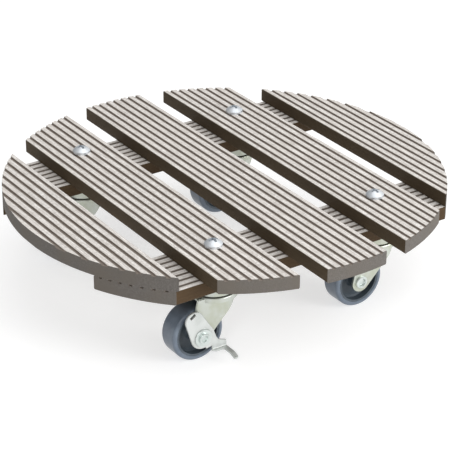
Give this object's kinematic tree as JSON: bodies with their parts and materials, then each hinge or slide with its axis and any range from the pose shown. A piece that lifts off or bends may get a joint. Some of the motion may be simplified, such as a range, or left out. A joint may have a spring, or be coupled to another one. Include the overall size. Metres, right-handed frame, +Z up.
{
  "type": "plant pot caddy",
  "caption": "Round slatted plant pot caddy: grooved composite boards on two cross bearers, carried by swivel casters, some with a side foot brake.",
  "frame": {"origin": "on the floor, under the centre of the round deck", "axes": "+X along the top slats, +Y across the slats, +Z up"},
  "size_m": [0.4, 0.4, 0.1048],
  "materials": {
    "board": "extruded wood-plastic composite, grooved, matt",
    "zinc_steel": "zinc-plated pressed steel",
    "bright_zinc": "bright zinc-plated fasteners",
    "bearing_steel": "hardened ball-race steel",
    "wheel_plastic": "moulded wheel centre",
    "tread": "solid tread, slightly glossy"
  },
  "bodies": {
    "deck": {"slat_1": "board", "slat_2": "board", "slat_3": "board", "slat_4": "board", "slat_5": "board", "bearer_right": "board", "bearer_left": "board", "slat_screws": "bright_zinc", "caster_screws": "bright_zinc", "king_nuts": "bright_zinc", "swivel_head_1": "zinc_steel", "upper_race_1": "bearing_steel", "king_bush_1": "zinc_steel", "swivel_head_2": "zinc_steel", "upper_race_2": "bearing_steel", "king_bush_2": "zinc_steel", "swivel_head_3": "zinc_steel", "upper_race_3": "bearing_steel", "king_bush_3": "zinc_steel", "swivel_head_4": "zinc_steel", "upper_race_4": "bearing_steel", "king_bush_4": "zinc_steel"},
    "swivel_1": {"fork_1": "zinc_steel", "lower_race_1": "bearing_steel", "race_balls_1": "bearing_steel", "axle_1": "bright_zinc", "axle_nut_1": "bright_zinc", "axle_bush_1": "zinc_steel", "brake_cam_1": "zinc_steel"},
    "wheel_1": {"wheel_core_1": "wheel_plastic", "tyre_1": "tread"},
    "lever_1": {"brake_lever_1": "zinc_steel"},
    "swivel_2": {"fork_2": "zinc_steel", "lower_race_2": "bearing_steel", "race_balls_2": "bearing_steel", "axle_2": "bright_zinc", "axle_nut_2": "bright_zinc", "axle_bush_2": "zinc_steel"},
    "wheel_2": {"wheel_core_2": "wheel_plastic", "tyre_2": "tread"},
    "swivel_3": {"fork_3": "zinc_steel", "lower_race_3": "bearing_steel", "race_balls_3": "bearing_steel", "axle_3": "bright_zinc", "axle_nut_3": "bright_zinc", "axle_bush_3": "zinc_steel"},
    "wheel_3": {"wheel_core_3": "wheel_plastic", "tyre_3": "tread"},
    "swivel_4": {"fork_4": "zinc_steel", "lower_race_4": "bearing_steel", "race_balls_4": "bearing_steel", "axle_4": "bright_zinc", "axle_nut_4": "bright_zinc", "axle_bush_4": "zinc_steel", "brake_cam_4": "zinc_steel"},
    "wheel_4": {"wheel_core_4": "wheel_plastic", "tyre_4": "tread"},
    "lever_4": {"brake_lever_4": "zinc_steel"}
  },
  "joints": [
    {"name": "swivel_turn_1", "type": "hinge", "parent": "deck", "child": "swivel_1", "pos_m": [0.111, -0.085, 0.06], "axis": [0, 0, 1], "continuous": true},
    {"name": "wheel_roll_1", "type": "hinge", "parent": "swivel_1", "child": "wheel_1", "pos_m": [0.111, -0.1065, 0.025], "axis": [1, 0, 0], "continuous": true},
    {"name": "brake_1", "type": "hinge", "parent": "swivel_1", "child": "lever_1", "pos_m": [0.1274, -0.10486, 0.02615], "axis": [1, 0, 0], "range_deg": [0, 25]},
    {"name": "swivel_turn_2", "type": "hinge", "parent": "deck", "child": "swivel_2", "pos_m": [0.111, 0.085, 0.06], "axis": [0, 0, 1], "continuous": true},
    {"name": "wheel_roll_2", "type": "hinge", "parent": "swivel_2", "child": "wheel_2", "pos_m": [0.111, 0.0635, 0.025], "axis": [1, 0, 0], "continuous": true},
    {"name": "swivel_turn_3", "type": "hinge", "parent": "deck", "child": "swivel_3", "pos_m": [-0.111, 0.085, 0.06], "axis": [0, 0, 1], "continuous": true},
    {"name": "wheel_roll_3", "type": "hinge", "parent": "swivel_3", "child": "wheel_3", "pos_m": [-0.111, 0.0635, 0.025], "axis": [1, 0, 0], "continuous": true},
    {"name": "swivel_turn_4", "type": "hinge", "parent": "deck", "child": "swivel_4", "pos_m": [-0.111, -0.085, 0.06], "axis": [0, 0, 1], "continuous": true},
    {"name": "wheel_roll_4", "type": "hinge", "parent": "swivel_4", "child": "wheel_4", "pos_m": [-0.111, -0.1065, 0.025], "axis": [1, 0, 0], "continuous": true},
    {"name": "brake_4", "type": "hinge", "parent": "swivel_4", "child": "lever_4", "pos_m": [-0.0946, -0.10486, 0.02615], "axis": [1, 0, 0], "range_deg": [0, 25]}
  ]
}
